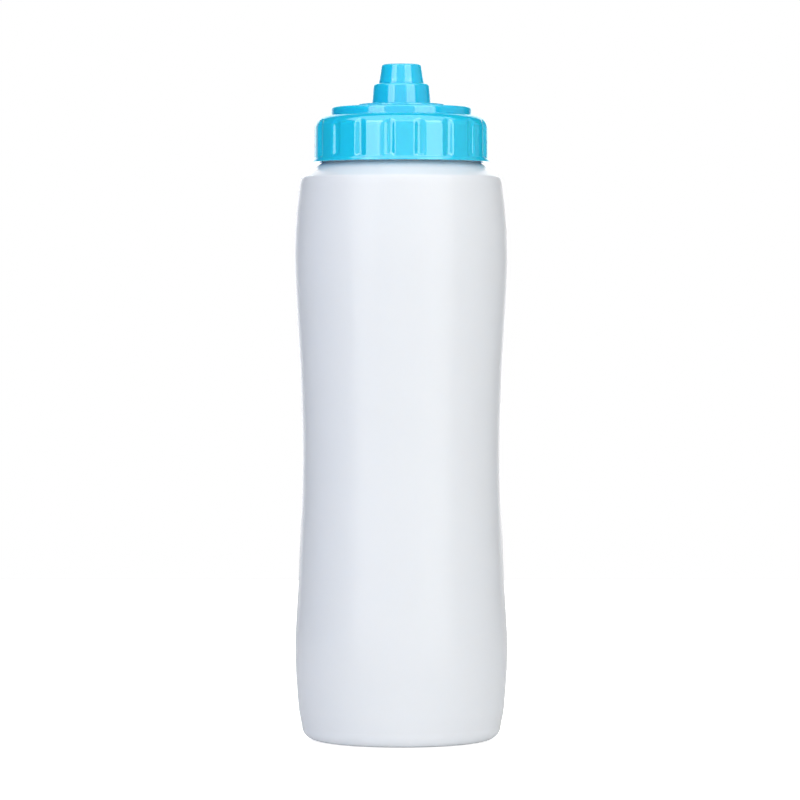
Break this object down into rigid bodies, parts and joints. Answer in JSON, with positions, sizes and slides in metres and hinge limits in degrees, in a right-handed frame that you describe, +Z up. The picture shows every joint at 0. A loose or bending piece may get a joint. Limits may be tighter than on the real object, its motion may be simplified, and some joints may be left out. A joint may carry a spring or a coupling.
{
  "type": "squeeze bottle",
  "caption": "Waisted white sports squeeze bottle with a fluted blue screw cap, raised disc and a push-pull drinking spout that slides on a chimney.",
  "frame": {"origin": "centre of the circle on which the bottle stands", "axes": "+Z up along the axis of the bottle, cap and spout; the picture looks along +Y"},
  "size_m": [0.082, 0.082, 0.258],
  "materials": {
    "bottle_white": "glossy low-density polyethylene, opaque white, faintly milky",
    "cap_blue": "glossy moulded polypropylene",
    "gasket_clear": "soft milky silicone, satin",
    "spout_blue": "glossy moulded polyethylene",
    "pin_blue": "moulded polypropylene, satin gloss"
  },
  "bodies": {
    "bottle": {"bottle_body": "bottle_white"},
    "seal": {"cap_gasket": "gasket_clear"},
    "cap": {"screw_cap": "cap_blue", "valve_pin": "pin_blue"},
    "spout": {"pull_spout": "spout_blue"}
  },
  "joints": [
    {"name": "cap_lift", "type": "slide", "parent": "bottle", "child": "seal", "axis": [0, 0, 1], "range_m": [0, 0.01685]},
    {"name": "cap_turn", "type": "hinge", "parent": "seal", "child": "cap", "pos_m": [0, 0, 0.2284], "axis": [0, 0, 1], "range_deg": [0, 1440]},
    {"name": "spout_pull", "type": "slide", "parent": "cap", "child": "spout", "axis": [0, 0, 1], "range_m": [0, 0.0044]}
  ],
  "couplings": [
    {"joint": "cap_lift", "follows": "cap_turn", "m_per_rad": 0.00066845}
  ]
}
